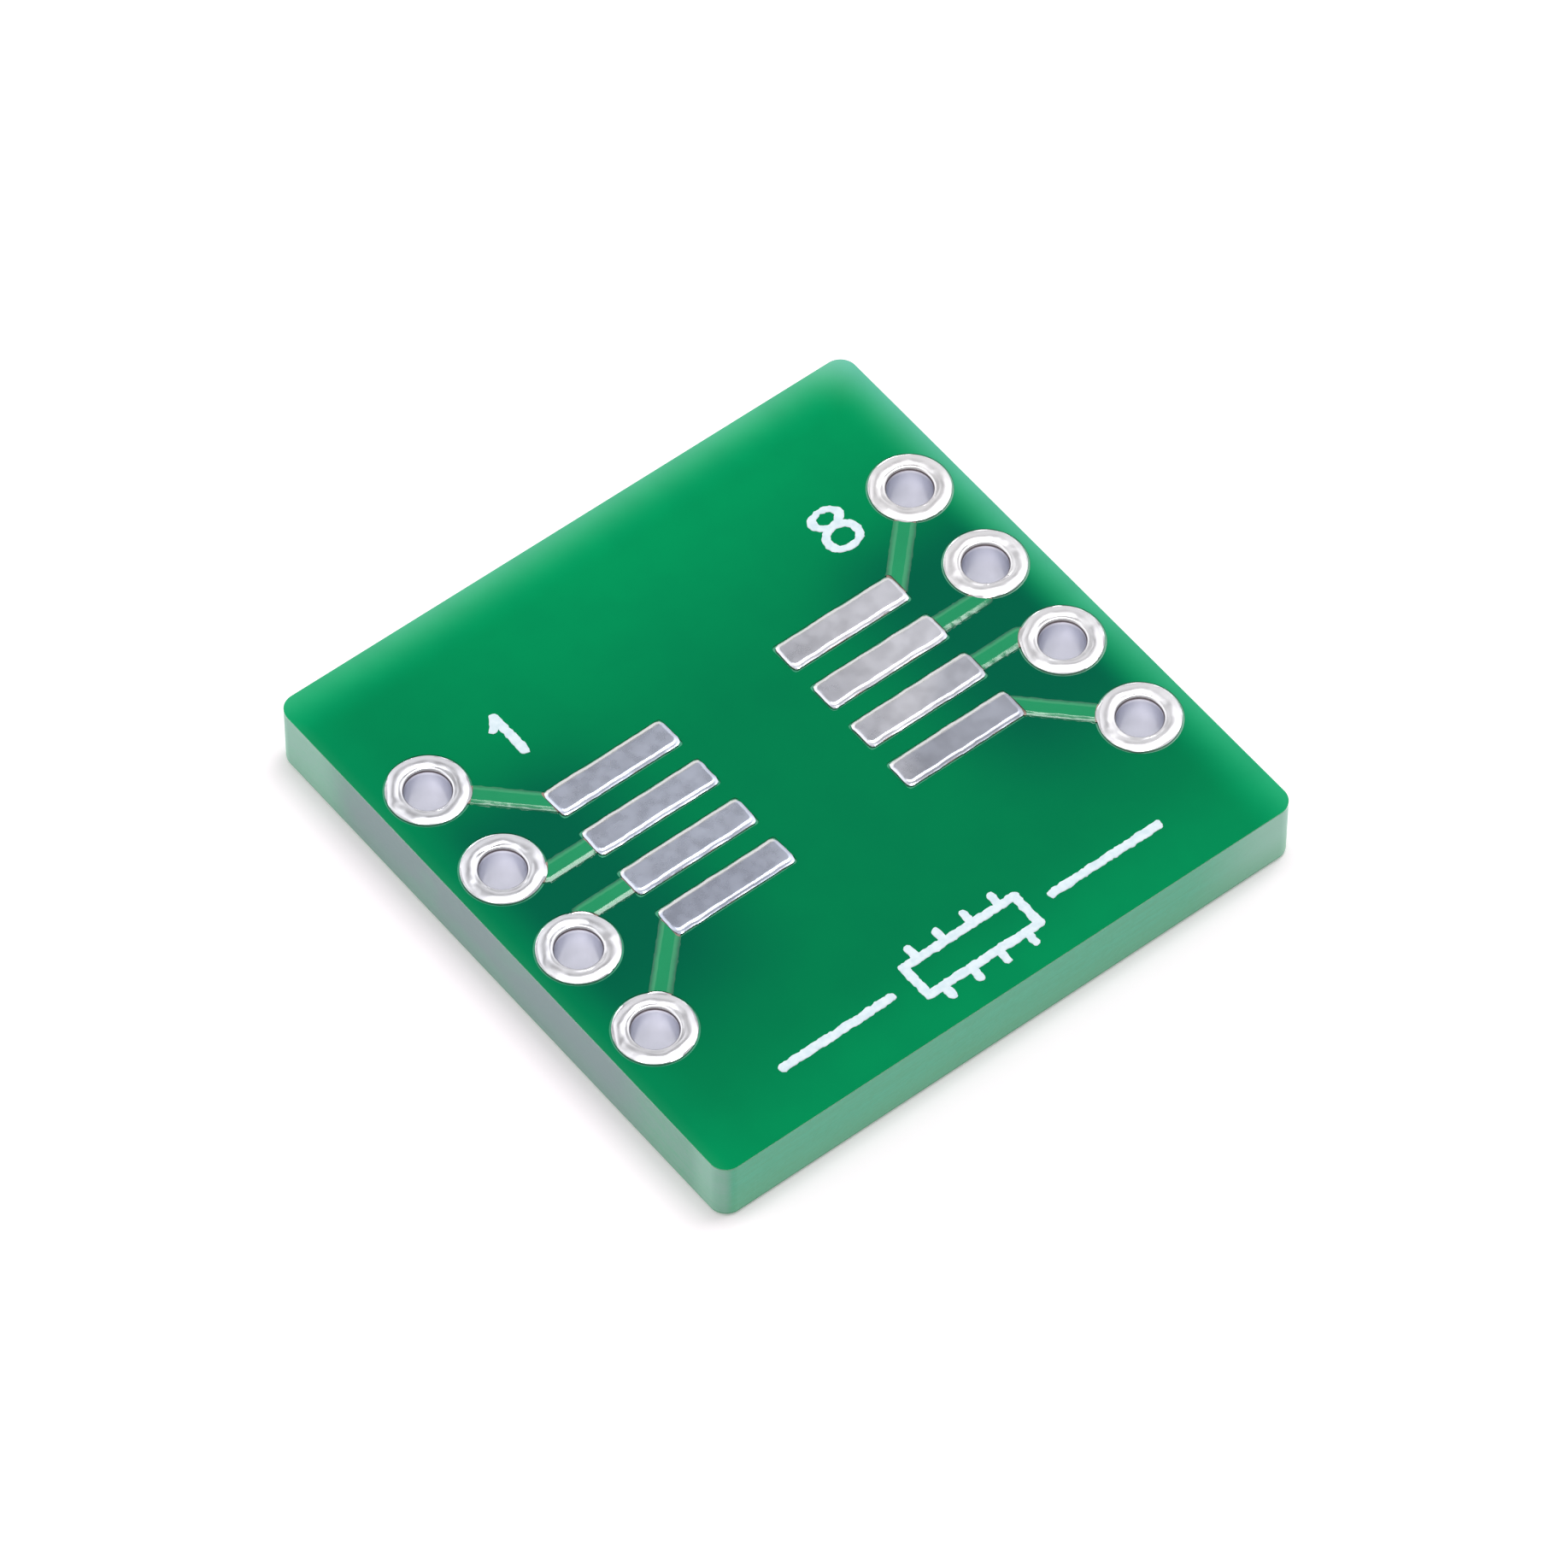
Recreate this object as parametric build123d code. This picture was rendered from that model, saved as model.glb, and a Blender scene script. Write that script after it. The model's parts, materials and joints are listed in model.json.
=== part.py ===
from build123d import *
import math
import os

# An adapter board that leads the eight legs of a small flat chip out to two rows of plated pin holes.
# X runs across the two rows of holes, Y runs along the rows and Z is up. Lengths are in millimetres.
# The origin is under the middle of the board, on the surface that its lower solder rings stand on.

# Board
board_thickness = 1.6      # over the copper on both faces
corner_radius = 0.4
side_margin = 1.15         # from a row of holes to the board's edge beside it
end_margin = 3.69          # from the last hole of a row to the board's end

# Layers on each face of the laminate
copper_thickness = 0.04
mask_thickness = 0.03
mask_clearance = 0.04      # bare gap from a pad or ring out to the edge of the mask
mask_shoulder = 0.06       # slope of the mask beside a trace, in plan

# Plated holes, in two rows with the pitch of a dual in-line socket
pins_per_row = 4
hole_pitch = 2.54
row_spacing = 12.7
bore_radius = 0.5
barrel_wall = 0.075        # plated copper and its solder together
ring_width = 0.39          # from the bore to the outside of the ring
ring_crest = 0.10          # height of the solder ring over the laminate, at its highest
ring_outer_edge = 0.07     # the same at its outer edge
ring_inner_edge = 0.06     # the same at the bore
ring_outer_slope = 0.10    # slope from the outer edge up to the crest, in plan
ring_inner_slope = 0.08    # slope from the bore up to the crest, in plan

# Chip pads, in two rows with the pitch of a small-outline chip's legs
leg_pitch = 1.27
pad_width = 0.75
pad_row_gap = 3.0          # between the inner ends of the two rows
pad_ring_gap = 0.91        # from the outer end of a pad to the line along the rings beside it
pad_corner = 0.08          # clipped corner, in plan
pad_solder = 0.06          # height of the solder over a pad's copper
pad_bevel = 0.045          # bevel round the solder's upper face

# Traces
trace_width = 0.45
trace_lean = 45.0          # angle of the slanted run that meets the hole, in degrees

# Sizes and heights that follow from the values above
drill_radius = bore_radius + barrel_wall
ring_radius = bore_radius + ring_width
board_length = row_spacing + 2 * side_margin
board_width = (pins_per_row - 1) * hole_pitch + 2 * end_margin
pad_length = row_spacing / 2 - ring_radius - pad_ring_gap - pad_row_gap / 2
laminate_bottom = ring_crest
laminate_top = laminate_bottom + board_thickness - 2 * copper_thickness
copper_top = laminate_top + copper_thickness
mask_top = laminate_top + mask_thickness
mask_over_trace = copper_top + mask_thickness


class Pin:
    """Where one numbered pin has its chip pad, its hole and the bend of the trace between them."""

    def __init__(self, number):
        side = -1 if number <= pins_per_row else 1
        step = number - 1 if side < 0 else 2 * pins_per_row - number
        place = (pins_per_row - 1) / 2 - step
        self.name = f"pin_{number}"
        self.hole = Vector(side * row_spacing / 2, place * hole_pitch)
        self.pad = Vector(side * (pad_row_gap + pad_length) / 2, place * leg_pitch)
        rise = abs(self.hole.Y - self.pad.Y)
        self.bend = Vector(self.hole.X - side * rise / math.tan(math.radians(trace_lean)), self.pad.Y)


def at(point, height=0.0):
    """A move to a point of the plan, at a height."""
    return Pos(point.X, point.Y, height)


def slab(outline, bottom, top):
    """A flat outline made solid between two heights."""
    return Pos(0, 0, bottom) * extrude(outline, top - bottom)


def board_outline():
    """The board's outline, with rounded corners."""
    return RectangleRounded(board_length, board_width, corner_radius)


def hole_outlines(radius):
    """A circle of one radius at every pin hole."""
    return Sketch() + [at(pin.hole) * Circle(radius) for pin in pins]


def strip(start, end, width):
    """A strip with round ends from one point to another."""
    run = end - start
    angle = math.degrees(math.atan2(run.Y, run.X))
    return at((start + end) / 2) * SlotCenterToCenter(run.length, width, rotation=angle)


def trace_outline(pin):
    """One trace: straight out of its pad, then slanted to the middle of its hole."""
    return strip(pin.pad, pin.bend, trace_width) + strip(pin.bend, pin.hole, trace_width)


def pad_outline(pin, margin=0.0):
    """One chip pad with clipped corners, grown by a margin all round."""
    outline = Rectangle(pad_length + 2 * margin, pad_width + 2 * margin)
    return at(pin.pad) * chamfer(outline.vertices(), pad_corner)


def ring_outline(pin, margin=0.0):
    """The outside of one ring, grown by a margin all round."""
    return at(pin.hole) * Circle(ring_radius + margin)


def substrate():
    """The glass-epoxy plate with its drilled holes."""
    return slab(board_outline() - hole_outlines(drill_radius), laminate_bottom, laminate_top)


def trace(pin):
    """The etched copper of one pin, from its ring along the trace to its chip pad."""
    return slab(trace_outline(pin) + pad_outline(pin) - ring_outline(pin), laminate_top, copper_top)


def mask_ridge(start, end):
    """The mask that climbs over one run of a trace, with sloping sides."""
    foot = at(Vector(), mask_top) * strip(start, end, trace_width + 2 * mask_shoulder)
    crown = at(Vector(), mask_over_trace) * strip(start, end, trace_width)
    return loft([foot, crown])


def upper_mask():
    """The upper solder mask: a film that is raised over the traces and open at the pads and rings."""
    film = slab(board_outline(), laminate_top, mask_top)
    for pin in pins:
        film += mask_ridge(pin.pad, pin.bend)
        film += mask_ridge(pin.bend, pin.hole)
    for pin in pins:
        opening = pad_outline(pin, mask_clearance) + ring_outline(pin, mask_clearance)
        film -= slab(opening, laminate_top, mask_over_trace)
        film -= slab(trace_outline(pin), laminate_top, copper_top)
    return film


def lower_mask():
    """The lower solder mask: a plain film with an opening round each ring."""
    film = board_outline() - hole_outlines(ring_radius + mask_clearance)
    return slab(film, laminate_bottom - mask_thickness, laminate_bottom)


def solder_tongue(pin, opening):
    """The thin solder on the trace's copper where it crosses the gap between a pad or ring and the mask."""
    return slab(trace_outline(pin) & opening, copper_top, mask_over_trace)


def pad_solder_coat(pin):
    """The solder on one chip pad: flat, with a bevel all round and a tongue out to the mask."""
    coat = slab(pad_outline(pin), copper_top, copper_top + pad_solder)
    rim = coat.edges().group_by(Axis.Z)[-1]
    coat = chamfer(rim, min(pad_bevel, 0.9 * pad_solder))
    return coat + solder_tongue(pin, pad_outline(pin, mask_clearance))


def ring_section(face, way):
    """The section of the solder ring on one face of the laminate, from the bore to the outer edge and back."""
    return [
        (bore_radius, face + way * ring_inner_edge),
        (bore_radius + ring_inner_slope, face + way * ring_crest),
        (ring_radius - ring_outer_slope, face + way * ring_crest),
        (ring_radius, face + way * ring_outer_edge),
        (ring_radius, face),
        (drill_radius, face),
    ]


def plated_hole(pin):
    """The plated barrel of one hole and the ring that it spreads into on each face, as one piece of metal."""
    upper = ring_section(laminate_top, 1)
    lower = ring_section(laminate_bottom, -1)
    section = make_face(Polyline(upper + lower[::-1], close=True))
    metal = at(pin.hole) * revolve(Plane.XZ * section, Axis.Z)
    crest = at(pin.hole) * Circle(bore_radius + ring_inner_slope)
    return metal + solder_tongue(pin, ring_outline(pin, mask_clearance) - crest)


pins = [Pin(number) for number in range(1, 2 * pins_per_row + 1)]

pieces = {
    "substrate": substrate(),
    "solder_mask_top": upper_mask(),
    "solder_mask_bottom": lower_mask(),
}
for pin in pins:
    pieces[f"{pin.name}_plated_hole"] = plated_hole(pin)
    pieces[f"{pin.name}_trace"] = trace(pin)
    pieces[f"{pin.name}_pad_solder"] = pad_solder_coat(pin)

os.makedirs("parts", exist_ok=True)
for name, piece in pieces.items():
    export_step(piece, f"parts/{name}.step")
    print(name, round(piece.volume, 4))
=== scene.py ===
# %% [markdown]
# This script dresses an adapter board: a square circuit board of 15 mm that takes a flat chip with eight
# legs on eight solder pads, and leads each leg along a copper trace to a plated pin hole near its edge.
# Blender starts its noise from a new seed in every session, so the seed is set here, and the board comes
# out the same each time.

# %% Load the imported board
import json
import math
from types import SimpleNamespace

import bmesh
import bpy
from mathutils import Matrix, Vector, noise

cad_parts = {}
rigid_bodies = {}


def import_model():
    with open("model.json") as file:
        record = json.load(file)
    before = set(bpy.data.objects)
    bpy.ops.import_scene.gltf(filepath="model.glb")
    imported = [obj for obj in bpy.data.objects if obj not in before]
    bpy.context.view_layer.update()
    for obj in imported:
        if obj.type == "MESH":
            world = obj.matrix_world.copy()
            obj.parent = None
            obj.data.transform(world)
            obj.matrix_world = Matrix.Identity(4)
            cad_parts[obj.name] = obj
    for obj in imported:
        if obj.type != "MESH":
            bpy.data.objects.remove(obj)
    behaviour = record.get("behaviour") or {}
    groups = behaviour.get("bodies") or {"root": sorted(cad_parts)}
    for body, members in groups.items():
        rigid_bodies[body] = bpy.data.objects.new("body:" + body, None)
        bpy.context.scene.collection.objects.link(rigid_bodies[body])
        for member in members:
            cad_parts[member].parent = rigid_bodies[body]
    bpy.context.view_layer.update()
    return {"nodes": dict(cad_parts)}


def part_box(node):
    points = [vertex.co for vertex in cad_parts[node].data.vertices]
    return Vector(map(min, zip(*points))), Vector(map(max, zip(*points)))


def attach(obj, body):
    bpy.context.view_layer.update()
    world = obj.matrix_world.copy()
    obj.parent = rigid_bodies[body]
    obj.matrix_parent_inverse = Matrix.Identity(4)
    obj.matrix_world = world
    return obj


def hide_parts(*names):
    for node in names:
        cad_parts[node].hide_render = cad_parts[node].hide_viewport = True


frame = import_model()
noise.seed_set(3)

# %% [markdown]
# A circuit board is a stack of thin layers, so heights matter more than anything else here. They are read
# from the CAD nodes, which keeps every new piece seated on its neighbours. Sizes are in millimetres, and
# each finished mesh is scaled to metres once, at the end, because Blender's merge distances and its exact
# Boolean are happier with sizes near one than with thousandths.

# %% Heights and sizes of the board
MM = 0.001


def heights(node):
    """Lowest and highest point of a CAD node, in millimetres."""
    low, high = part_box(node)
    return low.z / MM, high.z / MM


film_thickness = 0.03
laminate_bottom, laminate_top = heights("substrate")
copper_top = heights("pin_1_trace")[1]
metal_top = heights("pin_1_plated_hole")[1]
pad_top = heights("pin_1_pad_solder")[1]
ridge_top = heights("solder_mask_top")[1]
lower_film_bottom = heights("solder_mask_bottom")[0]
film_top = laminate_top + film_thickness
board_side = 15.0
corner_radius = 0.4
print("laminate", round(laminate_bottom, 3), "to", round(laminate_top, 3), "metal up to", round(metal_top, 3))

# %% [markdown]
# The eight pins follow the plan of every dual in-line part: numbers run down the left row and back up the
# right one. A trace leaves its pad straight, bends by 45 degrees and runs to the middle of its hole, so
# three points describe it. The script keeps them in one small record for each pin.

# %% Plan of the eight pins
row_spacing = 12.7
hole_pitch = 2.54
leg_pitch = 1.27
pad_length, pad_width = 3.05, 0.75
pad_middle = 3.025
ring_radius = 0.89
bore_radius = 0.5
drill_radius = 0.575
opening_gap = 0.04
trace_half = 0.225


def plan_pin(number):
    """Name and plan points of one pin."""
    side = -1 if number <= 4 else 1
    place = 1.5 - (number - 1 if side < 0 else 8 - number)
    hole = Vector((side * row_spacing / 2, place * hole_pitch, 0))
    pad = Vector((side * pad_middle, place * leg_pitch, 0))
    bend = Vector((hole.x - side * abs(hole.y - pad.y), pad.y, 0))
    return SimpleNamespace(name=f"pin_{number}", number=number, side=side, hole=hole, pad=pad, bend=bend)


pins = [plan_pin(number) for number in range(1, 9)]
print("pin 1 hole at", tuple(pins[0].hole), "pin 8 pad at", tuple(pins[7].pad))

# %% [markdown]
# Three shapes repeat all over a board: the board's own rounded outline as a slab, a round post for a hole
# or its clearance, and a block for a pad. Each starts from one of Blender's primitive shapes, and the slab
# and the block get bevelled corners. The defaults of the bevel operator differ from the editor's, so its
# settings are written out.

# %% Slabs, posts and blocks
corner_steps = 14
pad_corner, pad_corner_steps = 0.08, 2
round_sides = 96


def bevelled(bm, edges, offset, segments):
    """The mesh with some of its edges rounded."""
    bmesh.ops.bevel(bm, geom=edges, offset=offset, offset_type="OFFSET", segments=segments,
                    profile=0.5, affect="EDGES", material=-1)
    return bm


def upright_edges(bm):
    """Edges that stand along Z."""
    return [e for e in bm.edges if (e.verts[0].co - e.verts[1].co).xy.length < 1e-6]


def block(centre, length, width, bottom, top):
    """A plain block between two heights."""
    bm = bmesh.new()
    bmesh.ops.create_cube(bm, size=1.0)
    bmesh.ops.scale(bm, vec=(length, width, top - bottom), verts=bm.verts)
    bmesh.ops.translate(bm, vec=(centre.x, centre.y, (top + bottom) / 2), verts=bm.verts)
    return bm


def board_slab(bottom, top):
    """The board's outline with its rounded corners, between two heights."""
    bm = block(Vector((0, 0, 0)), board_side, board_side, bottom, top)
    return bevelled(bm, upright_edges(bm), corner_radius, corner_steps)


def pad_block(pin, margin, bottom, top, corner=pad_corner):
    """The outline of a chip pad with its rounded corners, grown by a margin."""
    bm = block(pin.pad, pad_length + 2 * margin, pad_width + 2 * margin, bottom, top)
    return bevelled(bm, upright_edges(bm), corner, pad_corner_steps)


def post(centre, radius, bottom, top):
    """A round post between two heights."""
    bm = bmesh.new()
    bmesh.ops.create_cone(bm, cap_ends=True, segments=round_sides, radius1=radius, radius2=radius,
                          depth=top - bottom)
    bmesh.ops.translate(bm, vec=(centre.x, centre.y, (top + bottom) / 2), verts=bm.verts)
    return bm


print("corners of", corner_radius, "mm on a board of", board_side, "mm")

# %% [markdown]
# A trace, the lacquer over it and a printed stroke all have one form: a section that runs along a line and
# turns round its ends. It could be a curve with a bevel object, but then its ends and bends are open or
# pinched. Here the section is extruded from station to station all the way round the line, back to
# where it began, so it closes into one clean solid that the exact Boolean can join and cut. A plated hole
# and a printed ring are simpler: their section is spun a full turn.

# %% Sections swept round a line or spun about an axis
bend_steps, bend_gap = 8, 0.2
merge_distance = 1e-5
seed_steps = (7.3, 3.1, 1.7)


def left_of(way):
    """The direction to the left of another, in plan."""
    return Vector((-way.y, way.x, 0))


def fan(centre, out, turn, steps):
    """Stations that turn the section about a point."""
    return [(centre, Matrix.Rotation(turn * i / steps, 3, "Z") @ out) for i in range(steps + 1)]


def rows_between(start, end, rows_per_mm, start_gap, end_gap):
    """Centre points along one straight run, kept clear of a bend by a gap."""
    length = (end - start).length
    way = (end - start) / length
    inner = length - start_gap - end_gap
    count = max(1, round(inner * rows_per_mm))
    return [start + way * (start_gap + inner * i / count) for i in range(count + 1)]


def stations(path, rows_per_mm, cap_steps):
    """Where a section stands, and which way it faces, on its way round a line of two or three points."""
    ways = [(b - a).normalized() for a, b in zip(path, path[1:])]
    runs = []
    for i, (a, b) in enumerate(zip(path, path[1:])):
        gaps = (bend_gap if i > 0 else 0, bend_gap if i + 2 < len(path) else 0)
        runs.append(rows_between(a, b, rows_per_mm, *gaps))

    def corner(first, second):
        """The section at the bend: a fan on the outer side, a mitre on the inner one."""
        turn = -first.xy.angle_signed(second.xy)
        if turn > 0:
            return fan(path[1], first, turn, bend_steps)
        return [(path[1], (first + second).normalized() / math.cos(turn / 2))]

    stops = fan(path[0], left_of(ways[0]), math.pi, cap_steps)
    for i, run in enumerate(runs):
        stops += [(point, -left_of(ways[i])) for point in run]
        if i + 1 < len(runs):
            stops += corner(-left_of(ways[i]), -left_of(ways[i + 1]))
    stops += fan(path[-1], -left_of(ways[-1]), math.pi, cap_steps)
    for i, run in reversed(list(enumerate(runs))):
        stops += [(point, left_of(ways[i])) for point in reversed(run)]
        if i > 0:
            stops += corner(left_of(ways[i]), left_of(ways[i - 1]))
    return stops


def closed(bm):
    """The mesh with points that meet made one and its faces turned outward."""
    bmesh.ops.remove_doubles(bm, verts=bm.verts, dist=merge_distance)
    bmesh.ops.recalc_face_normals(bm, faces=bm.faces)
    return bm


def swept(section, path, rows_per_mm=1, cap_steps=16):
    """A closed solid: a section of (distance out, height) points, swept round a line of points."""
    bm = bmesh.new()
    reach = bm.verts.layers.float.new("distance out")
    points = []
    for out, height in section:
        point = bm.verts.new((0, 0, height))
        point[reach] = out
        points.append(point)
    edges = [bm.edges.new(pair) for pair in zip(points, points[1:])]
    for i, (centre, out) in enumerate(stations(path, rows_per_mm, cap_steps)):
        if i > 0:
            made = bmesh.ops.extrude_edge_only(bm, edges=edges)["geom"]
            points = [g for g in made if isinstance(g, bmesh.types.BMVert)]
            moved = set(points)
            edges = [g for g in made if isinstance(g, bmesh.types.BMEdge) and moved.issuperset(g.verts)]
        for point in points:
            spot = centre + out * point[reach]
            point.co = (spot.x, spot.y, point.co.z)
    return closed(bm)


def spun(section, centre, steps):
    """A closed solid: a ring of (distance out, height) points, spun a full turn about an upright axis."""
    bm = bmesh.new()
    points = [bm.verts.new((centre.x + out, centre.y, height)) for out, height in section]
    edges = [bm.edges.new((a, b)) for a, b in zip(points, points[1:] + points[:1])]
    bmesh.ops.spin(bm, geom=edges, cent=centre, axis=(0, 0, 1), dvec=(0, 0, 0), angle=2 * math.pi,
                   steps=steps, use_merge=True, use_duplicate=False)
    return closed(bm)


def waved(bm, amount, wavelength, seed, upward=0.0):
    """Moves the vertices by smooth noise, as a hand or a liquid leaves a surface uneven."""
    for v in bm.verts:
        shift = noise.noise_vector(v.co / wavelength + Vector([seed * step for step in seed_steps]))
        v.co += Vector((shift.x, shift.y, shift.z * upward)) * amount
    return bm


trial = swept([(0, 1), (1, 1), (1, 0), (0, 0)], [Vector((0, 0, 0)), Vector((2, 0, 0)), Vector((3, 1, 0))])
print("a trial run has", len(trial.faces), "faces and", sum(not e.is_manifold for e in trial.edges), "open edges")
trial.free()

# %% [markdown]
# Solids are joined and cut by the exact Boolean, with all the tools of one cut in one collection. The
# result is taken as a new mesh, so no modifier stays behind. Where two surfaces meet almost at one place, a
# cut leaves slivers far thinner than a hair, so these are dissolved before a piece is finished. Weighted
# normals come last: they let the large flat faces keep their true direction, so a glossy film shows no
# false bend beside a small relief.

# %% Joining, cutting and finishing
sliver_width = 3e-4


def as_object(bm, name):
    """A mesh object from a bmesh, which is freed."""
    mesh = bpy.data.meshes.new(name)
    bm.to_mesh(mesh)
    bm.free()
    obj = bpy.data.objects.new(name, mesh)
    bpy.context.scene.collection.objects.link(obj)
    return obj


def apply_modifiers(obj):
    """Makes an object's modifiers part of its mesh."""
    bpy.context.view_layer.update()
    graph = bpy.context.evaluated_depsgraph_get()
    mesh = bpy.data.meshes.new_from_object(obj.evaluated_get(graph), preserve_all_data_layers=True, depsgraph=graph)
    obj.modifiers.clear()
    obj.data = mesh


def boolean(obj, tools, operation):
    """Joins a list of bmeshes to an object (UNION) or cuts them from it (DIFFERENCE)."""
    group = bpy.data.collections.new(operation)
    bpy.context.scene.collection.children.link(group)
    for bm in tools:
        tool = as_object(bm, "tool")
        bpy.context.scene.collection.objects.unlink(tool)
        group.objects.link(tool)
    cut = obj.modifiers.new(operation, "BOOLEAN")
    cut.operation = operation
    cut.solver = "EXACT"
    cut.operand_type = "COLLECTION"
    cut.collection = group
    apply_modifiers(obj)
    for tool in list(group.objects):
        bpy.data.objects.remove(tool)
    bpy.data.collections.remove(group)


def heal(obj):
    """Dissolves the slivers that a cut leaves behind, and deletes edges that lost their faces."""
    bm = bmesh.new()
    bm.from_mesh(obj.data)
    bmesh.ops.dissolve_degenerate(bm, dist=sliver_width, edges=bm.edges)
    bmesh.ops.delete(bm, geom=[e for e in bm.edges if not e.link_faces], context="EDGES")
    bm.to_mesh(obj.data)
    bm.free()


def complete(obj, material, replaced=(), sharp=40):
    """Gives a piece its smooth shading, size, finish and place in the frame."""
    heal(obj)
    obj.data.polygons.foreach_set("use_smooth", [True] * len(obj.data.polygons))
    obj.data.set_sharp_from_angle(angle=math.radians(sharp))
    level = obj.modifiers.new("flat faces stay flat", "WEIGHTED_NORMAL")
    level.keep_sharp = True
    level.weight = 100
    apply_modifiers(obj)
    obj.data.transform(Matrix.Scale(MM, 4))
    obj.data.materials.clear()
    obj.data.materials.append(material)
    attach(obj, "root")
    if replaced:
        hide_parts(*replaced)
    print(obj.name, len(obj.data.vertices), "vertices")


# %% [markdown]
# Every finish below is a small graph of nodes that reads the piece's own Object coordinates, turned into
# millimetres by a Mapping node, so a pattern stays on the board wherever the camera goes. The helpers
# keep each graph short enough to read as a recipe, and the room at the end uses them too. A rise over x, y
# or z goes from one place in millimetres to another, and a rise over a grain goes from one level of the
# noise to another. Where it has two more numbers, they say how little and how much of a colour is taken.

# %% Helpers for the finishes
colour_a, colour_b, mixed = 6, 7, 2    # sockets of a Mix node that carry colours


def srgb(red, green, blue):
    """A colour given as on screen, from 0 to 255, in the linear values that a shader takes."""
    def linear(v):
        v /= 255
        return v / 12.92 if v <= 0.04045 else ((v + 0.055) / 1.055) ** 2.4
    return linear(red), linear(green), linear(blue), 1.0


class Graph:
    """A node graph, with short calls for the nodes that the finishes and the room share."""

    def __init__(self, tree):
        self.tree = tree

    def node(self, kind):
        """A new node of one kind."""
        return self.tree.nodes.new(kind)

    def feed(self, socket, value):
        """Links a socket to another, or sets its number or colour."""
        if isinstance(value, bpy.types.NodeSocket):
            self.tree.links.new(value, socket)
        else:
            socket.default_value = value

    def parts(self, vector):
        """The three parts of a vector."""
        node = self.node("ShaderNodeSeparateXYZ")
        self.feed(node.inputs["Vector"], vector)
        return node.outputs

    def maths(self, operation, *values):
        """The result of one sum, product or the like."""
        node = self.node("ShaderNodeMath")
        node.operation = operation
        for socket, value in zip(node.inputs, values):
            self.feed(socket, value)
        return node.outputs[0]

    def times(self, first, second):
        """The product of two values."""
        return self.maths("MULTIPLY", first, second)

    def rise(self, value, start, end, low=0.0, high=1.0):
        """A smooth rise from low to high as a value goes from start to end."""
        node = self.node("ShaderNodeMapRange")
        node.interpolation_type = "SMOOTHSTEP"
        for name, number in (("From Min", start), ("From Max", end), ("To Min", low), ("To Max", high)):
            node.inputs[name].default_value = number
        self.feed(node.inputs["Value"], value)
        return node.outputs["Result"]


class Recipe(Graph):
    """A material's graph, which reads the place on the board in millimetres."""

    def __init__(self, name):
        self.material = bpy.data.materials.new(name)
        self.material.use_nodes = True
        super().__init__(self.material.node_tree)
        self.shader = self.tree.nodes["Principled BSDF"]
        place = self.node("ShaderNodeTexCoord")
        self.point = self.scaled(place.outputs["Object"], (1 / MM, 1 / MM, 1 / MM))
        self.x, self.y, self.z = self.parts(self.point)

    def scaled(self, vector, scale):
        """A vector with each of its parts multiplied by a number."""
        node = self.node("ShaderNodeMapping")
        node.inputs["Scale"].default_value = scale
        self.feed(node.inputs["Vector"], vector)
        return node.outputs["Vector"]

    def blend(self, share, first, second):
        """A colour between two others."""
        node = self.node("ShaderNodeMix")
        node.data_type = "RGBA"
        self.feed(node.inputs["Factor"], share)
        self.feed(node.inputs[colour_a], first)
        self.feed(node.inputs[colour_b], second)
        return node.outputs[mixed]

    def grain(self, scale, detail=2.0, stretch=None):
        """Noise with a number of lumps per millimetre, longer along an axis if it is stretched."""
        node = self.node("ShaderNodeTexNoise")
        node.inputs["Scale"].default_value = scale
        node.inputs["Detail"].default_value = detail
        self.feed(node.inputs["Vector"], self.scaled(self.point, stretch) if stretch else self.point)
        return node.outputs["Fac"]

    def relief(self, height, depth):
        """A bump of a depth in metres."""
        node = self.node("ShaderNodeBump")
        node.inputs["Distance"].default_value = depth
        self.feed(node.inputs["Height"], height)
        self.feed(self.shader.inputs["Normal"], node.outputs["Normal"])

    def set(self, **values):
        """The material, with its shader's sockets fed; they are named with underscores for spaces."""
        for name, value in values.items():
            self.feed(self.shader.inputs[name.replace("_", " ")], value)
        return self.material


print("finishes read Object coordinates at", 1 / MM, "per metre")

# %% [markdown]
# Solder mask is a green epoxy lacquer. It is clear enough that what lies under it changes its colour: it
# looks lighter and warmer over copper than over bare laminate. Light and shade are painted into it too: a
# painted glow towards the board's edges, strongest on the right and far ones, where light comes up through
# the laminate, painted light on the far side and along the near edge, and painted shade between the pads
# and the pins. True transmission would cost much render time for the same picture, so the finish paints
# these effects from the place on the board and the height of the surface.

# %% The green lacquer
mask_green = srgb(0, 128, 78)
# The shade green below is painted shade between the pads and the pins, and a random cloudiness too
mask_shade = srgb(0, 99, 71)
# The light, bright, mint and teal greens below are painted light and glow on the lacquer
painted_light_green = srgb(0, 154, 92)
painted_glow_green = srgb(0, 175, 111)
painted_glow_mint = srgb(118, 205, 170)
painted_glow_teal = srgb(122, 207, 186)
mask_over_copper = srgb(44, 155, 104)
copper_shows = (film_top + 0.004, ridge_top - 0.006)


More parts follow.
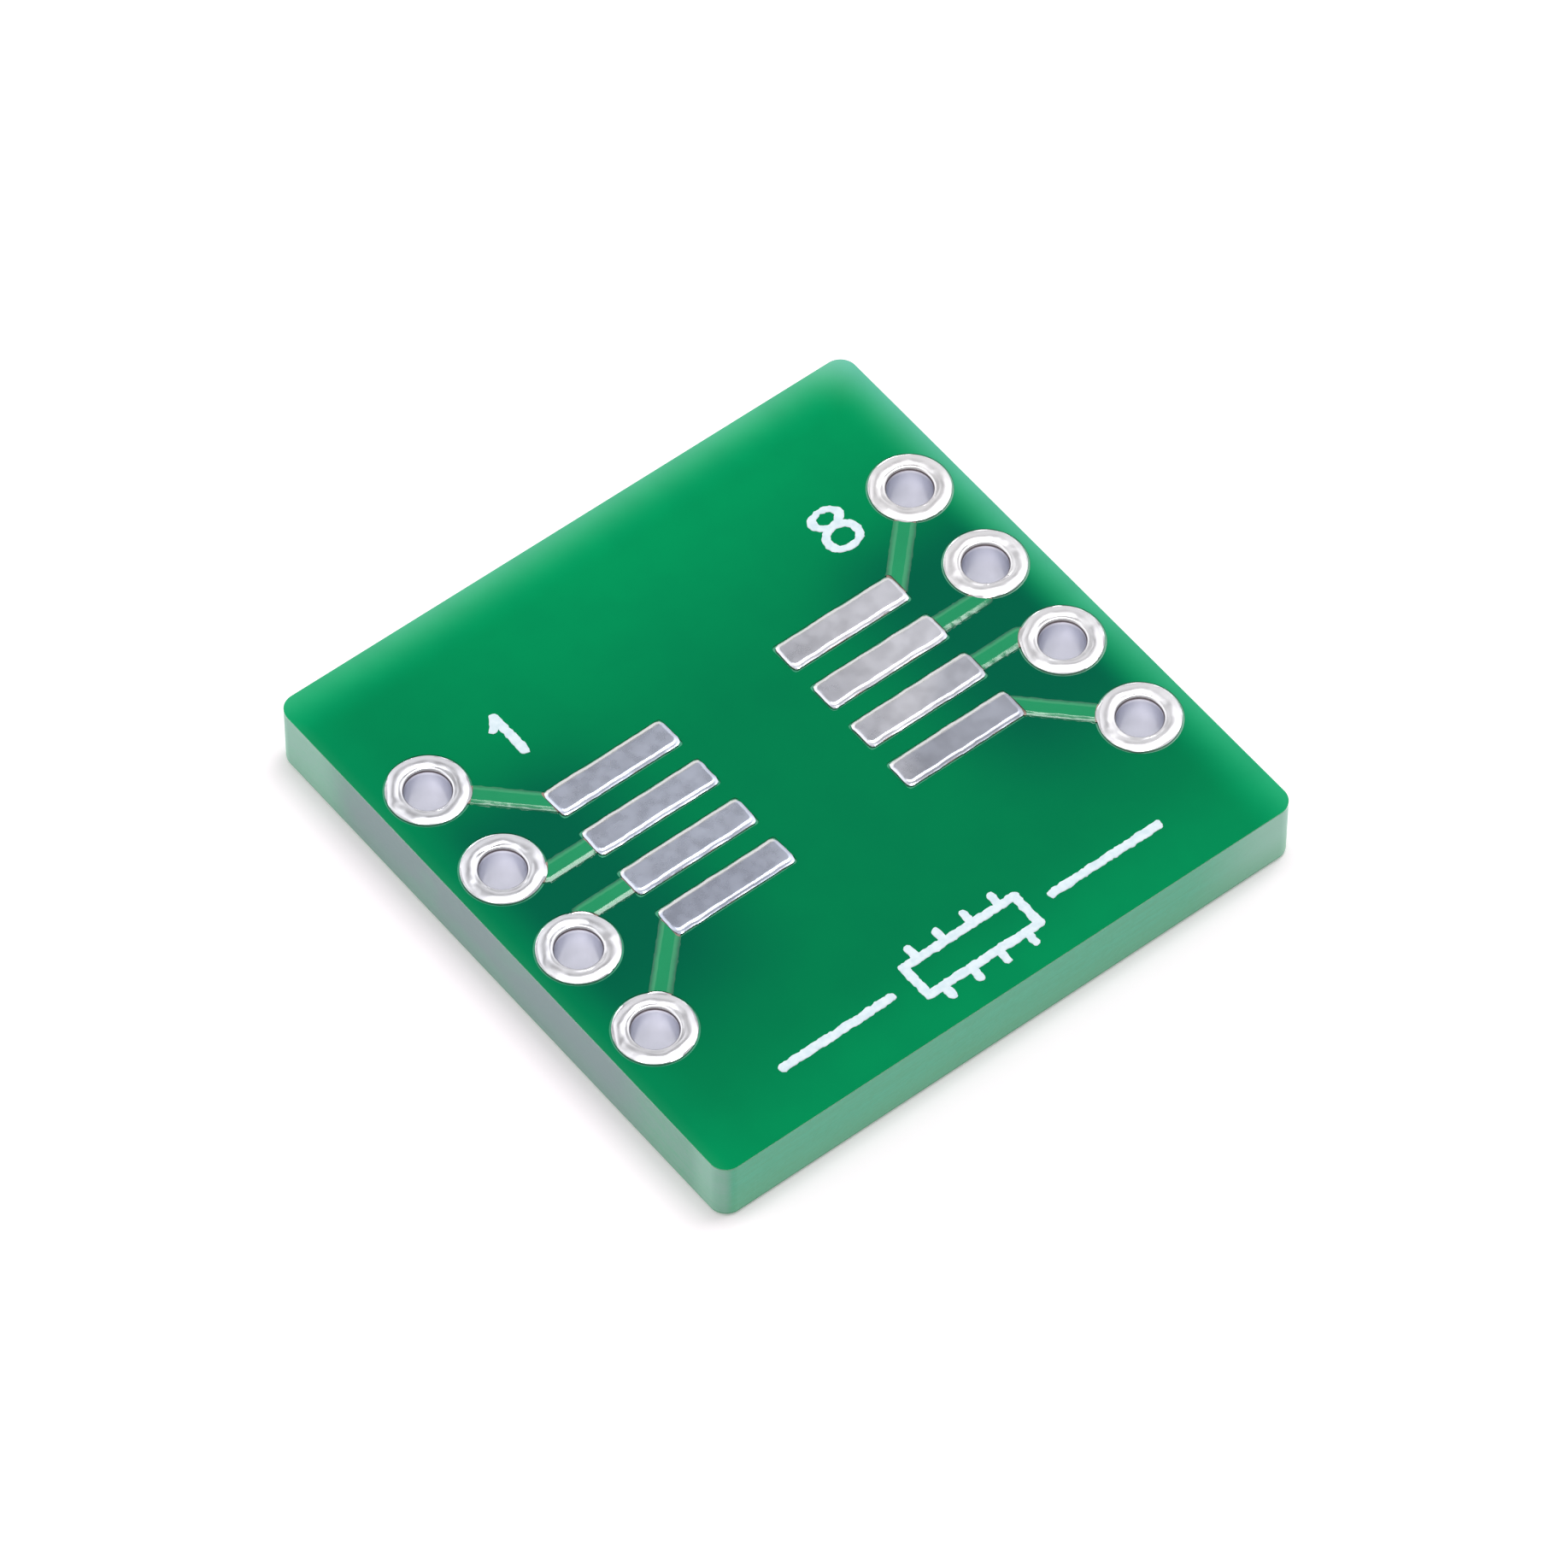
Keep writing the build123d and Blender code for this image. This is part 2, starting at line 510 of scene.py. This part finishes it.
def lacquer(name, over_copper):
    """The green solder mask, with or without the relief over the traces."""
    r = Recipe(name)
    across = r.maths("ABSOLUTE", r.x)
    # Painted light: lighter on the far side and along the near edge
    painted_far_light = r.times(r.rise(r.y, 1.0, 7.4), r.rise(r.x, -8.0, 0.0, 0.3, 1.0))
    colour = r.blend(painted_far_light, mask_green, painted_light_green)
    colour = r.blend(r.rise(r.y, -5.2, -7.4, 0.0, 0.55), colour, painted_light_green)
    # Painted shade: darker between the pads and the pins
    beside = r.times(r.rise(across, 2.0, 4.8), r.rise(across, 7.5, 6.4, 0.2, 1.0))
    painted_shade_near_pins = r.times(beside, r.times(r.rise(r.y, 4.0, 1.8), r.rise(r.y, -5.6, -2.0)))
    painted_shade_near_pins = r.times(painted_shade_near_pins, r.rise(r.x, 7.6, 6.5))
    colour = r.blend(painted_shade_near_pins, colour, mask_shade)
    # Painted glow: brighter at the edges, most of all on the right and far ones
    colour = r.blend(r.maths("MAXIMUM", r.rise(r.x, 6.3, 7.8), r.rise(r.y, 6.2, 7.6)), colour, painted_glow_green)
    colour = r.blend(r.rise(r.x, -6.2, -7.4, 0.0, 0.14), colour, painted_glow_green)
    to_right, to_far = r.rise(r.x, 6.1, 8.0), r.rise(r.y, 6.1, 8.0)
    painted_far_glow = r.times(r.maths("POWER", to_far, 3.0), r.rise(r.x, -7.5, -3.0, 0.35, 1.0))
    painted_far_glow = r.maths("ADD", painted_far_glow, r.times(to_right, to_far))
    painted_far_glow = r.maths("MAXIMUM", painted_far_glow, r.rise(r.x, -7.2, -7.6, 0.0, 0.06))
    colour = r.blend(r.maths("MINIMUM", painted_far_glow, 1.0), colour, painted_glow_mint)
    painted_right_glow = r.times(r.maths("POWER", to_right, 3.0), r.rise(r.y, -7.5, 6.0, 0.22, 1.2))
    colour = r.blend(r.maths("MINIMUM", painted_right_glow, 1.0), colour, painted_glow_teal)
    if over_copper:
        colour = r.blend(r.rise(r.z, *copper_shows), colour, mask_over_copper)
    cloud = r.rise(r.grain(0.9, 3.0), 0.3, 0.7, 0.0, 0.10)
    colour = r.blend(cloud, colour, mask_shade)
    r.relief(r.grain(14.0, 3.0), 0.6e-6)
    return r.set(Base_Color=colour, Roughness=0.11, IOR=1.5)


upper_lacquer = lacquer("green_lacquer_upper", True)
lower_lacquer = lacquer("green_lacquer_lower", False)
print("lacquer over copper starts at", round(copper_shows[0], 3), "mm")

# %% [markdown]
# The laminate is woven glass in epoxy. Only its sawn edge shows: pale green, cloudy, with the plies as
# faint lines along the board. A lighter strip at the foot is painted light, where the white table shines
# into it. The left side is painted in a greyer light than the front, with blotches of painted shade, and
# both sides are painted paler towards their ends.

# %% The glass-epoxy edge
glass_green = srgb(65, 178, 139)
glass_deep = srgb(60, 162, 116)
# The pale, left, grey and foot colours below are painted light and shade on the laminate's edge
painted_light_pale = srgb(150, 204, 182)
painted_shade_left = srgb(102, 157, 138)
painted_shade_grey = srgb(111, 138, 138)
painted_light_foot = srgb(93, 177, 130)
foot_height = 0.9


def glass_epoxy():
    """The sawn edge of the laminate."""
    r = Recipe("glass_epoxy")
    on_left = r.rise(r.x, -7.2, -7.4)
    # Painted shade: the left side in a greyer light than the front
    colour = r.blend(on_left, glass_green, painted_shade_left)
    # The plies and a fine cloudiness
    ply = r.grain(1.0, 3.0, (0.35, 0.35, 11.0))
    colour = r.blend(r.rise(ply, 0.35, 0.7, 0.0, 0.30), colour, glass_deep)
    colour = r.blend(r.rise(r.grain(7.0, 4.0), 0.40, 0.65, 0.0, 0.25), colour, glass_deep)
    # Painted shade in grey blotches along the left side, and painted light at the paler ends
    blotch = r.times(r.rise(r.grain(0.55, 2.0), 0.36, 0.54, 0.7, 1.0), on_left)
    greyed = r.times(r.rise(r.y, -5.6, -3.6), r.rise(r.y, 6.0, 4.6))
    colour = r.blend(r.times(blotch, greyed), colour, painted_shade_grey)
    left_ends = r.maths("ADD", r.rise(r.y, 5.0, 6.2, 0.0, 0.45), r.rise(r.y, -6.3, -6.9, 0.0, 0.45))
    colour = r.blend(r.times(left_ends, on_left), colour, painted_light_pale)
    colour = r.blend(r.rise(r.x, 4.4, 7.5), colour, painted_light_pale)
    # Painted light: the light of the table at the foot
    near_foot = r.rise(r.z, laminate_bottom + foot_height, laminate_bottom, 0.0, 0.45)
    colour = r.blend(r.times(near_foot, r.rise(r.x, -7.4, -7.2, 0.4, 1.0)), colour, painted_light_foot)
    r.relief(r.grain(9.0, 4.0, (1.0, 1.0, 3.0)), 6e-6)
    return r.set(Base_Color=colour, Roughness=0.5, IOR=1.5)


glass = glass_epoxy()
print("laminate edge is", round(laminate_top - laminate_bottom, 2), "mm high")

# %% [markdown]
# Hot-air levelled solder is a bright metal skin that was liquid a moment before: smooth but uneven, with
# soft waves, a few dull specks, and a brown line of flux where it meets the lacquer. The roughness and
# a shallow bump carry the waves, and the flux is painted by height at the foot of the metal. Light and
# shade are painted into the solder's colour: it is lighter or darker on the left, right and front, each
# pad has a painted highlight on its far rim, and the barrel of a hole has painted shade, greyer on its
# way down.

# %% The levelled solder, the copper and the ink
# Painted light and shade: the pads and rings take lighter or darker tones from side to side
pad_light_and_shade = ((0.78, 0.83, 0.99, 1.0), (0.92, 0.92, 1.0, 1.0), (0.60, 0.64, 0.78, 1.0), (0.50, 0.52, 0.60, 1.0))
ring_light_and_shade = ((0.92, 0.92, 0.97, 1.0), (0.96, 0.94, 0.96, 1.0), (0.93, 0.92, 0.96, 1.0), (0.94, 0.93, 0.96, 1.0))
painted_rim_highlight = (1.0, 1.0, 1.0, 1.0)
tarnish_grey = (0.5, 0.5, 0.54, 1.0)
painted_bore_shade = srgb(182, 184, 194)
painted_bore_light = srgb(208, 210, 221)
flux_brown = srgb(150, 122, 112)
copper_light = (0.44, 0.33, 0.29, 1)
copper_dark = (0.34, 0.24, 0.20, 1)
ink_white = srgb(230, 243, 250)
ink_thin = srgb(214, 232, 241)


def levelled_solder(name, tones, smoothest, roughest, depth):
    """Bright solder in four tones of painted light and shade: left, right, front and front right. The bump's depth is
    in metres.
    """
    r = Recipe(name)
    across = r.maths("ABSOLUTE", r.x)
    left, right, front, front_right = tones
    # Painted light and shade: the solder is lighter or darker on the left, right, front and front right
    colour = r.blend(r.rise(r.x, -2.0, 3.0), left, right)
    outer = r.rise(across, 1.6, 2.4, 0.1, 0.8)
    colour = r.blend(r.times(r.rise(r.y, -1.1, -1.5), outer), colour, front)
    towards = r.maths("SUBTRACT", r.x, r.times(r.y, 1.2))
    colour = r.blend(r.rise(towards, 3.7, 4.6, 0.0, 0.65), colour, front_right)
    tarnish = r.rise(r.grain(2.5, 1.0), 0.5, 0.8, 0.0, 0.10)
    colour = r.blend(tarnish, colour, tarnish_grey)
    # Painted highlight: the far rim of each pad
    from_middle = r.maths("SUBTRACT", r.maths("WRAP", r.y, leg_pitch, 0.0), leg_pitch / 2)
    far_rim_highlight = r.times(r.rise(from_middle, 0.25, 0.29), r.rise(across, 4.8, 4.7))
    colour = r.blend(far_rim_highlight, colour, painted_rim_highlight)
    # Painted shade: the barrel of each hole, below its mouth, greyer on its way down
    barrel = r.blend(r.rise(r.z, laminate_top - 0.85, laminate_top - 0.2), painted_bore_shade, painted_bore_light)
    colour = r.blend(r.rise(r.z, laminate_top - 0.01, laminate_top - 0.12), colour, barrel)
    # The flux at the foot of the metal
    over_foot = r.rise(r.z, laminate_top + 0.045, laminate_top + 0.030, 0.0, 0.7)
    at_foot = r.times(over_foot, r.rise(r.z, laminate_top - 0.02, laminate_top - 0.005))
    colour = r.blend(at_foot, colour, flux_brown)
    r.relief(r.grain(5.0, 0.5), depth)
    specks = r.rise(r.grain(3.0), 0.3, 0.7, smoothest, roughest)
    roughness = r.maths("ADD", specks, r.rise(r.x, 1.0, 4.5, 0.0, 0.035))
    return r.set(Base_Color=colour, Metallic=1.0, Roughness=roughness)


def etched_copper():
    """Bare copper, a little tarnished."""
    r = Recipe("etched_copper")
    colour = r.blend(r.rise(r.grain(4.0, 3.0), 0.35, 0.65), copper_light, copper_dark)
    r.relief(r.grain(30.0), 1e-6)
    return r.set(Base_Color=colour, Metallic=1.0, Roughness=0.42)


def legend_ink():
    """White printed ink, thinner in places."""
    r = Recipe("legend_ink")
    colour = r.blend(r.rise(r.grain(6.0, 3.0), 0.35, 0.7), ink_white, ink_thin)
    r.relief(r.grain(20.0, 3.0), 2e-6)
    return r.set(Base_Color=colour, Roughness=0.55, IOR=1.45)


pad_solder = levelled_solder("levelled_solder_pads", pad_light_and_shade, 0.265, 0.29, 0.3e-6)
ring_solder = levelled_solder("levelled_solder_rings", ring_light_and_shade, 0.28, 0.33, 1.0e-6)
copper = etched_copper()
ink = legend_ink()
print("materials:", len(bpy.data.materials))

# %% [markdown]
# The core of the board is the slab of laminate with its eight drilled holes. The saw or router leaves its
# long edges crisp, and they stay sharp here, because the two films of lacquer lie flush on them.

# %% The laminate core
below_all, above_all = -0.5, 2.5
core_low, core_high = 0.5, 1.0      # heights inside the laminate, where a cut in one face stops

core = as_object(board_slab(laminate_bottom, laminate_top), "laminate_core")
boolean(core, [post(pin.hole, drill_radius, below_all, above_all) for pin in pins], "DIFFERENCE")
complete(core, glass, ["substrate"])

# %% [markdown]
# The lower mask is a plain film with one round opening for each ring. The upper one is the piece that
# gives the board its character, because the lacquer climbs over each trace in a soft shoulder that
# catches the light. A section of that shoulder is swept along both runs of each trace and joined to the
# film; then the pads, rings and copper are cut out of it.

# %% The two films of solder mask
lower_film = as_object(board_slab(lower_film_bottom, laminate_bottom), "lower_mask_film")
boolean(lower_film, [post(pin.hole, ring_radius + opening_gap, below_all, core_low) for pin in pins], "DIFFERENCE")
complete(lower_film, lower_lacquer, ["solder_mask_bottom"])

# The shoulder as distances out from the middle of a trace and shares of the way down to the film
shoulder = [(0.0, 0.0), (0.11, 0.0), (0.125, 0.03), (0.14, 0.10), (0.155, 0.205), (0.17, 0.31), (0.185, 0.415),
            (0.20, 0.52), (0.215, 0.61), (0.235, 0.70), (0.248, 1.0)]
foot = 0.275
foot_depth, root_depth = 0.002, 0.02
inside_window = 0.45
ridge_rows_per_mm = 14
ridge_wave, ridge_wavelength = 0.007, 0.10


def shoulder_section():
    """Half a section through the lacquer over a trace, from its crown out and down into the film."""
    section = [(out, ridge_top - share * (ridge_top - film_top)) for out, share in shoulder]
    return section + [(foot, film_top - foot_depth), (foot, film_top - root_depth), (0, film_top - root_depth)]


def trace_path(pin):
    """Centre line of a trace, from just inside its pad's window to just inside its ring's."""
    start = pin.pad + Vector((pin.side * (pad_length / 2 - inside_window), 0, 0))
    last = (pin.hole - pin.bend).normalized()
    return [start, pin.bend, pin.hole - last * inside_window]


def ridge(pin):
    """The lacquer that climbs over one trace."""
    bm = swept(shoulder_section(), trace_path(pin), rows_per_mm=ridge_rows_per_mm)
    return waved(bm, ridge_wave, ridge_wavelength, pin.number, upward=0.5)


upper_film = as_object(board_slab(laminate_top, film_top), "upper_mask_film")
boolean(upper_film, [ridge(pin) for pin in pins], "UNION")
boolean(upper_film, [post(pin.hole, ring_radius + opening_gap, core_high, above_all) for pin in pins], "DIFFERENCE")
boolean(upper_film, [pad_block(pin, opening_gap, core_high, above_all) for pin in pins], "DIFFERENCE")
copper_section = [(0, copper_top), (trace_half, copper_top), (trace_half, core_high), (0, core_high)]
boolean(upper_film, [swept(copper_section, trace_path(pin)) for pin in pins], "DIFFERENCE")
complete(upper_film, upper_lacquer, ["solder_mask_top"])

# %% [markdown]
# The traces themselves stay as the CAD has them. They lie under the lacquer, and only a hair of copper
# shows in the gap round a pad, so they just get their finish.

# %% Copper on the CAD traces
for pin in pins:
    trace = frame["nodes"][f"{pin.name}_trace"]
    trace.data.materials.clear()
    trace.data.materials.append(copper)
print("traces with copper:", len(pins))

# %% [markdown]
# A tinned pad is flat in the middle and falls away at its rim, where surface tension rounds the solder.
# It starts as the outline of the pad. A few insets, each a little higher and further in, draw the
# rounded rim, and a gentle wave moves the rim in and out as a dipped edge is.

# %% Solder on the chip pads
rim_width = 0.11
rim_steps = 8
rim_corner = 0.15
rim_wall = 0.012
face_margin = 0.003       # kept free under the highest point of the CAD pad
corner_pull = 0.55
lean_out, lean_far = 0.03, 0.012
cuts_along, cuts_across = 44, 7
broad_wave, fine_wave = (0.020, 0.40), (0.008, 0.12)    # amount and wavelength
face_wave, face_wavelength = 0.003, 0.5
hair = 1e-4


def tinned_pad(pin):
    """The solder on one pad: a low wall, a rim that rises in a parabola, and a gently uneven face."""
    wall_top = copper_top + rim_wall
    face_top = pad_top - face_margin
    bm = pad_block(pin, 0.0, copper_top, wall_top, rim_corner)
    bm.normal_update()
    top = [max(bm.faces, key=lambda f: f.calc_center_median().z)]
    for i in range(rim_steps, 0, -1):
        climb = (i * i - (i - 1) * (i - 1)) / rim_steps ** 2
        bmesh.ops.inset_region(bm, faces=top, thickness=rim_width / rim_steps,
                               depth=climb * (face_top - wall_top), use_even_offset=True)
    # The foot is drawn out into its corners, and the rim above it leans outward and to the far side
    for v in bm.verts:
        reach = v.co - pin.pad
        corner = pin.pad + Vector((math.copysign(pad_length / 2, reach.x), math.copysign(pad_width / 2, reach.y), 0))
        if v.co.z < wall_top + hair and (v.co - corner).xy.length < 1.1 * rim_corner:
            v.co.xy = corner.xy + (v.co - corner).xy * corner_pull
        elif v.co.z > wall_top + hair:
            v.co.x += lean_out * reach.x / (pad_length / 2)
            v.co.y += lean_far
    # Rows of vertices along and across the pad, for the waves to move
    lengthwise = [e for e in bm.edges if abs(e.verts[0].co.x - e.verts[1].co.x) > pad_length / 2]
    bmesh.ops.subdivide_edges(bm, edges=lengthwise, cuts=cuts_along)
    crosswise = [e for e in bm.edges if abs(e.verts[0].co.y - e.verts[1].co.y) > pad_width / 4]
    bmesh.ops.subdivide_edges(bm, edges=crosswise, cuts=cuts_across)
    waved(bm, *broad_wave, pin.number)
    waved(bm, *fine_wave, pin.number + 20)
    for v in bm.verts:
        if v.co.z > wall_top + 0.01:
            v.co.z += face_wave * noise.noise(v.co / face_wavelength + Vector((pin.number * 3.7, 0, 0)))
    return bm


for pin in pins:
    pad = as_object(tinned_pad(pin), f"{pin.name}_tinned_pad")
    complete(pad, pad_solder, [f"{pin.name}_pad_solder"], sharp=60)

# %% [markdown]
# A plated hole is one skin of metal: a ring on each face and the barrel between them. The solder stands
# on each ring as a low dome and rounds into the bore. One section of it is drawn at the bore and spun a
# full turn, and smooth noise then takes away the look of a lathe. Towards its trace the upper ring draws
# out into a short point of solder.

# %% Plated holes with their solder rings
ring_wall = 0.045
dome_inset = 0.006
ring_crest_radius = 0.70
ring_mouth_radius = 0.545
mouth_start = 0.22
mouth_drop = 0.09
mouth_steps = 7
dome_steps = 14
dome_drop = 1.35
board_middle = 1.0
sunk_broad, sunk_fine, drift_width = 0.012, 0.003, 0.05
spur_reach, spur_turn = 0.036, 0.27


def face_section(face, way):
    """Section of the ring on one face, from its outer foot over the dome and round into the bore."""
    crest = abs(metal_top - laminate_top)
    section = [(ring_radius, face), (ring_radius, face + way * ring_wall)]
    widest = ring_radius - dome_inset
    for i in range(dome_steps + 1):
        r = widest + (ring_mouth_radius - widest) * i / dome_steps
        section.append((r, face + way * (crest - dome_drop * (r - ring_crest_radius) ** 2)))
    mouth_top = crest - dome_drop * (ring_mouth_radius - ring_crest_radius) ** 2
    for i in range(1, mouth_steps + 1):
        a = mouth_start + (math.pi / 2 - mouth_start) * i / mouth_steps
        across = (1 - math.sin(a)) / (1 - math.sin(mouth_start))
        r = bore_radius + (ring_mouth_radius - bore_radius) * across
        section.append((r, face + way * (mouth_top - mouth_drop * (1 - math.cos(a) / math.cos(mouth_start)))))
    return section


def plated_hole(pin):
    """The metal of one hole: both rings and the barrel, made uneven, with the spur towards its trace."""
    upper = face_section(laminate_top, 1)
    lower = face_section(laminate_bottom, -1)
    outside = [(drill_radius, laminate_bottom), (drill_radius, laminate_top)]
    bm = spun(upper + lower[::-1] + outside, pin.hole, round_sides)
    for v in bm.verts:
        out = (v.co.xy - pin.hole.xy).length
        if drill_radius + 0.005 < out < ring_radius - 0.01:
            broad = noise.noise(v.co / 0.36 + Vector((pin.number * 5.1, 0, 0)))
            fine = noise.noise(v.co / 0.13 + Vector((pin.number * 2.3, 4, 0)))
            v.co.z -= ((1 - broad) * sunk_broad + (1 - fine) * sunk_fine) * (1 if v.co.z > board_middle else -1)
            drift = noise.noise_vector(v.co / 0.45 + Vector((0, pin.number * 4.3, 0)))
            v.co.xy += drift.xy * drift_width
        elif out > ring_radius - 0.01 and v.co.z > board_middle:
            turn = (v.co.xy - pin.hole.xy).angle((pin.bend - pin.hole).xy)
            v.co.xy += (v.co.xy - pin.hole.xy) / out * spur_reach * max(0, 1 - (turn / spur_turn) ** 2)
    return bm


for pin in pins:
    hole = as_object(plated_hole(pin), f"{pin.name}_tinned_hole")
    complete(hole, ring_solder, [f"{pin.name}_plated_hole"], sharp=60)

# %% [markdown]
# The legend is white ink that was printed through a screen, so its strokes have round ends and ragged
# edges and stand a little proud of the lacquer. The pin numbers 1 and 8 say which way the chip goes in.
# The strip below the pads gets a plain drawing of a chip between two dashes.

# %% Printed legend
stroke = 0.108
ink_height = 0.016
ink_sunk = 0.004
ink_section = [(0, film_top + ink_height), (stroke * 0.6, film_top + ink_height),
               (stroke * 0.86, film_top + ink_height * 0.8), (stroke, film_top + ink_height * 0.35),
               (stroke, film_top - ink_sunk), (0, film_top - ink_sunk)]
coarse_rag, fine_rag = (0.030, 0.11), (0.016, 0.05)     # amount and wavelength
loop_sides = 72


def line(x0, y0, x1, y1, width=1.0):
    """One printed stroke with round ends."""
    section = [(out * width, height) for out, height in ink_section]
    return swept(section, [Vector((x0, y0, 0)), Vector((x1, y1, 0))], rows_per_mm=20, cap_steps=8)


def loop(x, y, half_length, half_width):
    """One printed ring, longer than it is wide."""
    section = ink_section[1:-1]
    section = section + [(-out, height) for out, height in section[::-1]]
    bm = spun([(half_length + out, height) for out, height in section], Vector((0, 0, 0)), loop_sides)
    bmesh.ops.scale(bm, vec=(1, half_width / half_length, 1), verts=bm.verts)
    bmesh.ops.translate(bm, vec=(x, y, 0), verts=bm.verts)
    return bm


def printed(name, strokes, seed):
    """A mark made of joined strokes, with ragged edges."""
    ragged = [waved(waved(bm, *coarse_rag, seed), *fine_rag, seed + 9) for bm in strokes]
    mark = as_object(ragged[0], name)
    boolean(mark, ragged[1:], "UNION")
    complete(mark, ink, sharp=70)


printed("numeral_1", [line(-4.145, 3.41, -4.145, 4.46), line(-4.15, 4.41, -4.36, 4.205, 0.95)], 1)
printed("numeral_8", [loop(4.455, 4.265, 0.32, 0.225), loop(4.465, 3.69, 0.375, 0.31)], 2)

mark_y = -6.165
half_body, half_depth = 1.45, 0.425
leg_spacing, leg_reach, leg_width = 0.72, 0.73, 0.9
dash_start, dash_end = 2.1, 4.9
drawing = [line(-dash_end, mark_y, -dash_start, mark_y), line(dash_start, mark_y, dash_end, mark_y)]
for way in (-1, 1):
    side_y, end_x = mark_y + way * half_depth, way * half_body
    drawing.append(line(-half_body, side_y, half_body, side_y))
    drawing.append(line(end_x, mark_y - half_depth, end_x, mark_y + half_depth))
    for place in (-1.5, -0.5, 0.5, 1.5):
        leg_x = place * leg_spacing
        drawing.append(line(leg_x, side_y, leg_x, mark_y + way * leg_reach, leg_width))
printed("chip_mark", drawing, 3)

# %% [markdown]
# The photograph was taken from above the front left corner of the board, from far away with a long lens,
# so the edges stay almost parallel. The camera's direction is given by its azimuth and elevation, and its
# two small offsets place the board in the frame.

# %% Camera
azimuth, elevation = math.radians(-38.249), math.radians(53.827)
distance, lens = 235.618, 262.2
offset_right, offset_up = 0.01195, 0.61785
back = Vector((math.sin(azimuth) * math.cos(elevation), -math.cos(azimuth) * math.cos(elevation), math.sin(elevation)))
right = Vector((math.cos(azimuth), math.sin(azimuth), 0))
up = back.cross(right)
eye = Vector((0, 0, film_top)) - right * offset_right - up * offset_up + back * distance
camera = bpy.data.objects.new("camera", bpy.data.cameras.new("camera"))
bpy.context.scene.collection.objects.link(camera)
camera.matrix_world = Matrix.Translation(eye * MM) @ Matrix((right, up, back)).transposed().to_4x4()
camera.data.lens = lens
camera.data.sensor_width = 36
camera.data.clip_start = 0.01
bpy.context.scene.camera = camera
print("camera at", [round(v, 1) for v in eye], "mm")

# %% [markdown]
# The board lies on white card under soft light. A mirror-like surface is lit by what it reflects, so the
# room matters: two small bright softboxes high over the board draw the white lines on the solder and the
# lacquer's shoulders, a dimmer part of the room keeps the flat pads grey, and the rest is an even white.
# The levels are plain, so that a surface renders about as its colour is written. The sizes of the lamps
# and the card are in metres.

# %% Room, softboxes and floor
room_ahead, room_behind, room_dim = 1.15, 0.38, 0.03
dim_middle, dim_reach = (0.16, 0.47), (0.40, 0.17)
softbox_light, softbox_distance = 9.5, 0.6
card_white = (0.92, 0.84, 0.88, 1)
card_lift = 0.25
card_half = 2.0
white = (1, 1, 1, 1)


def build_world():
    """The room: brighter ahead than behind, with one dim patch for the pads to reflect."""
    world = bpy.data.worlds.new("studio")
    bpy.context.scene.world = world
    world.use_nodes = True
    g = Graph(world.node_tree)
    x, y, z = g.parts(g.node("ShaderNodeTexCoord").outputs["Generated"])
    ahead = g.maths("ADD", g.times(x, 0.25), g.times(y, 0.97))
    beyond = g.maths("ADD", g.times(x, 0.62), g.times(y, 0.785))
    even = g.times(g.rise(ahead, -0.30, 0.10, room_behind, room_ahead), g.rise(beyond, 0.62, 0.82, 1.0, 0.64))
    off_x = g.maths("DIVIDE", g.maths("SUBTRACT", x, dim_middle[0]), dim_reach[0])
    off_y = g.maths("DIVIDE", g.maths("SUBTRACT", y, dim_middle[1]), dim_reach[1])
    away = g.maths("ADD", g.times(off_x, off_x), g.times(off_y, off_y))
    dim = g.times(g.rise(away, 1.5, 0.5), g.rise(z, 0.0, 0.2))
    level = g.maths("ADD", g.times(even, g.maths("SUBTRACT", 1.0, dim)), g.times(dim, room_dim))
    seen = g.node("ShaderNodeLightPath").outputs["Is Camera Ray"]
    shown = g.maths("ADD", g.times(level, g.maths("SUBTRACT", 1.0, seen)), seen)
    background = g.tree.nodes["Background"]
    g.feed(background.inputs["Strength"], shown)
    g.feed(background.inputs["Color"], white)


def softbox(name, direction, half_x, half_y):
    """An oblong lamp in a direction, with its half angles in degrees as seen from the board."""
    lamp = bpy.data.lights.new(name, "AREA")
    lamp.shape = "RECTANGLE"
    lamp.size, lamp.size_y = (2 * softbox_distance * math.tan(math.radians(half)) for half in (half_x, half_y))
    lamp.energy = softbox_light * math.pi * lamp.size * lamp.size_y
    obj = bpy.data.objects.new(name, lamp)
    bpy.context.scene.collection.objects.link(obj)
    aim = Vector(direction).normalized()
    level = Vector((1, 0, 0)).cross(aim).normalized()
    turn = Matrix((level.cross(aim), level, aim)).transposed()
    obj.matrix_world = Matrix.Translation(aim * softbox_distance) @ turn.to_4x4()


def white_floor():
    """White card that keeps the board's shadow and shows as plain white elsewhere."""
    bm = bmesh.new()
    bmesh.ops.create_grid(bm, x_segments=1, y_segments=1, size=card_half)
    floor = as_object(bm, "floor")
    card = bpy.data.materials.new("white_card")
    card.use_nodes = True
    g = Graph(card.node_tree)
    shader = g.tree.nodes["Principled BSDF"]
    ray = g.node("ShaderNodeLightPath").outputs
    glow = g.maths("ADD", g.times(ray["Is Camera Ray"], card_lift), ray["Is Glossy Ray"])
    g.feed(shader.inputs["Base Color"], card_white)
    g.feed(shader.inputs["Roughness"], 1.0)
    g.feed(shader.inputs["Specular IOR Level"], 0.0)
    g.feed(shader.inputs["Emission Color"], white)
    g.feed(shader.inputs["Emission Strength"], glow)
    floor.data.materials.append(card)


build_world()
softbox("main_softbox", (0.245, 0.0, 0.97), 9.2, 9.0)
softbox("side_softbox", (0.07, 0.17, 0.98), 3.5, 4.0)
white_floor()
bpy.context.scene.view_settings.view_transform = "Standard"
print("softboxes, room and floor are in place")
